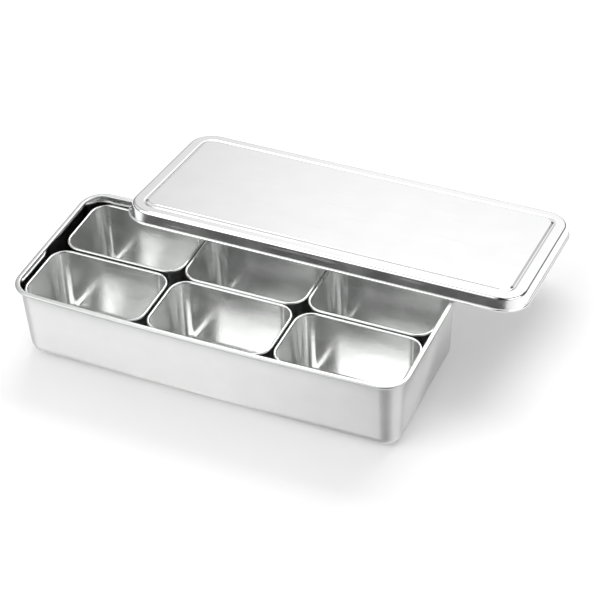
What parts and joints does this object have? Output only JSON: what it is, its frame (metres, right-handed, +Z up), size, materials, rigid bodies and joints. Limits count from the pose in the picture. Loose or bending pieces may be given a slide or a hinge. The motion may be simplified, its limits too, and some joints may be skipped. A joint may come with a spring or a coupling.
{
  "type": "covered pan set",
  "caption": "Shallow steel tray with loose small pans standing side by side in it and a loose pressed cover laid back across its rim.",
  "frame": {"origin": "middle of the tray's flat underside", "axes": "+X along the tray's long side to the right, +Y towards its back, +Z up"},
  "size_m": [0.4295, 0.3031, 0.0946],
  "materials": {
    "tray_steel": "satin stainless steel, polished inside the rim",
    "pan_steel": "satin stainless steel with a bright rolled rim",
    "lid_steel": "bright satin stainless steel"
  },
  "bodies": {
    "tray": {"tray": "tray_steel"},
    "pan_front_left": {"pan_front_left": "pan_steel"},
    "pan_front_middle": {"pan_front_middle": "pan_steel"},
    "pan_front_right": {"pan_front_right": "pan_steel"},
    "pan_back_left": {"pan_back_left": "pan_steel"},
    "pan_back_middle": {"pan_back_middle": "pan_steel"},
    "pan_back_right": {"pan_back_right": "pan_steel"},
    "lid": {"lid": "lid_steel"}
  },
  "joints": [
    {"name": "lid_lift", "type": "slide", "parent": "tray", "child": "lid", "axis": [0, 0, 1], "range_m": [0, 0.17]},
    {"name": "pan_front_left_lift", "type": "slide", "parent": "tray", "child": "pan_front_left", "axis": [0, 0, 1], "range_m": [0, 0.085]},
    {"name": "pan_front_middle_lift", "type": "slide", "parent": "tray", "child": "pan_front_middle", "axis": [0, 0, 1], "range_m": [0, 0.085]},
    {"name": "pan_front_right_lift", "type": "slide", "parent": "tray", "child": "pan_front_right", "axis": [0, 0, 1], "range_m": [0, 0.085]},
    {"name": "pan_back_left_lift", "type": "slide", "parent": "tray", "child": "pan_back_left", "axis": [0, 0, 1], "range_m": [0, 0.085]},
    {"name": "pan_back_middle_lift", "type": "slide", "parent": "tray", "child": "pan_back_middle", "axis": [0, 0, 1], "range_m": [0, 0.085]},
    {"name": "pan_back_right_lift", "type": "slide", "parent": "tray", "child": "pan_back_right", "axis": [0, 0, 1], "range_m": [0, 0.085]}
  ],
  "couplings": [
    {"joint": "pan_back_left_lift", "follows": "lid_lift", "ratio": 0.5},
    {"joint": "pan_back_middle_lift", "follows": "lid_lift", "ratio": 0.5},
    {"joint": "pan_back_right_lift", "follows": "lid_lift", "ratio": 0.5}
  ]
}
